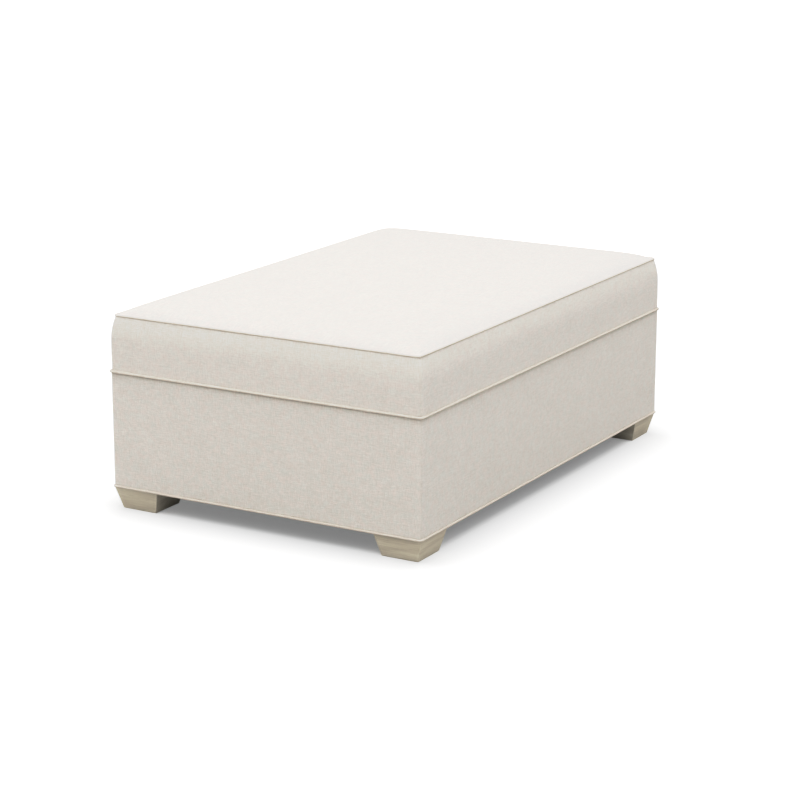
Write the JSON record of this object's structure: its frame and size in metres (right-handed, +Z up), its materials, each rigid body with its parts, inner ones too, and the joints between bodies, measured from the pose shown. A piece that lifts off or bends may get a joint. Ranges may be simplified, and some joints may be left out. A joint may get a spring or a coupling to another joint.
{
  "type": "storage ottoman",
  "caption": "Upholstered rectangular storage ottoman: piped box on tapered wood feet, with a deep padded lid hinged along the rear and held up by gas struts.",
  "frame": {"origin": "on the floor below the middle of the body's bounding box", "axes": "+X along the length, -Y towards the front, +Z up"},
  "size_m": [1.2196, 0.8136, 0.47],
  "materials": {
    "upholstery": "heathered linen weave, oat and ivory, with self piping",
    "lining": "plain woven lining cloth",
    "dust_cloth": "black spunbonded cloth",
    "wadding": "white polyester wadding",
    "foam": "polyurethane foam",
    "felt": "pressed wool felt",
    "feet": "grey-washed oak, matt",
    "plywood": "birch plywood, unfinished",
    "frame_timber": "planed pine",
    "glide": "moulded nail glide",
    "zinc": "bright zinc plate",
    "screw_steel": "zinc plated wood screws",
    "hinge_steel": "nickel plated piano hinge",
    "bracket_steel": "black powder coat",
    "strut_tube": "satin black paint",
    "strut_rod": "ground and plated rod"
  },
  "bodies": {
    "base": {"front_left_foot": "feet", "front_right_foot": "feet", "rear_left_foot": "feet", "rear_right_foot": "feet", "foot_glides": "glide", "hanger_bolts": "zinc", "tee_nuts": "zinc", "front_left_corner_block": "frame_timber", "front_right_corner_block": "frame_timber", "rear_left_corner_block": "frame_timber", "rear_right_corner_block": "frame_timber", "front_cleat": "frame_timber", "rear_cleat": "frame_timber", "left_cleat": "frame_timber", "right_cleat": "frame_timber", "floor_bearer": "frame_timber", "front_panel": "plywood", "rear_panel": "plywood", "left_end_panel": "plywood", "right_end_panel": "plywood", "floor_panel": "plywood", "frame_screws": "screw_steel", "hinge_base_screws": "screw_steel", "base_bracket_screws": "screw_steel", "storage_lining": "lining", "dust_cover": "dust_cloth", "base_wadding": "wadding", "base_welt": "upholstery", "front_cover": "upholstery", "rear_cover": "upholstery", "left_cover": "upholstery", "right_cover": "upholstery", "lid_bumpers": "felt", "hinge_base_leaf": "hinge_steel", "hinge_pin": "hinge_steel", "left_base_bracket": "bracket_steel", "right_base_bracket": "bracket_steel"},
    "lid": {"lid_board": "plywood", "lid_lining": "lining", "seat_foam": "foam", "seat_wadding": "wadding", "lid_welt": "upholstery", "top_welt": "upholstery", "top_cover": "upholstery", "front_boxing": "upholstery", "rear_boxing": "upholstery", "left_boxing": "upholstery", "right_boxing": "upholstery", "hinge_lid_leaf": "hinge_steel", "hinge_lid_screws": "screw_steel", "lid_bracket_screws": "screw_steel", "left_lid_bracket": "bracket_steel", "right_lid_bracket": "bracket_steel"},
    "left_strut_tube": {"left_strut_tube": "strut_tube"},
    "left_strut_rod": {"left_strut_rod": "strut_rod"},
    "right_strut_tube": {"right_strut_tube": "strut_tube"},
    "right_strut_rod": {"right_strut_rod": "strut_rod"}
  },
  "joints": [
    {"name": "lid_hinge", "type": "hinge", "parent": "base", "child": "lid", "pos_m": [0, 0.4044, 0.32045], "axis": [-1, 0, 0], "range_deg": [0, 85]},
    {"name": "left_strut_base_pivot", "type": "hinge", "parent": "base", "child": "left_strut_tube", "pos_m": [-0.563, 0.3548, 0.1474], "axis": [-1, 0, 0], "range_deg": [0, 42.5]},
    {"name": "left_strut_lid_pivot", "type": "hinge", "parent": "lid", "child": "left_strut_rod", "pos_m": [-0.563, 0.22476, 0.3088], "axis": [-1, 0, 0], "range_deg": [-42.5, 0]},
    {"name": "right_strut_base_pivot", "type": "hinge", "parent": "base", "child": "right_strut_tube", "pos_m": [0.563, 0.3548, 0.1474], "axis": [-1, 0, 0], "range_deg": [0, 42.5]},
    {"name": "right_strut_lid_pivot", "type": "hinge", "parent": "lid", "child": "right_strut_rod", "pos_m": [0.563, 0.22476, 0.3088], "axis": [-1, 0, 0], "range_deg": [-42.5, 0]}
  ],
  "couplings": [
    {"joint": "left_strut_base_pivot", "follows": "lid_hinge", "ratio": 0.5},
    {"joint": "left_strut_lid_pivot", "follows": "lid_hinge", "ratio": -0.5},
    {"joint": "right_strut_base_pivot", "follows": "lid_hinge", "ratio": 0.5},
    {"joint": "right_strut_lid_pivot", "follows": "lid_hinge", "ratio": -0.5}
  ]
}
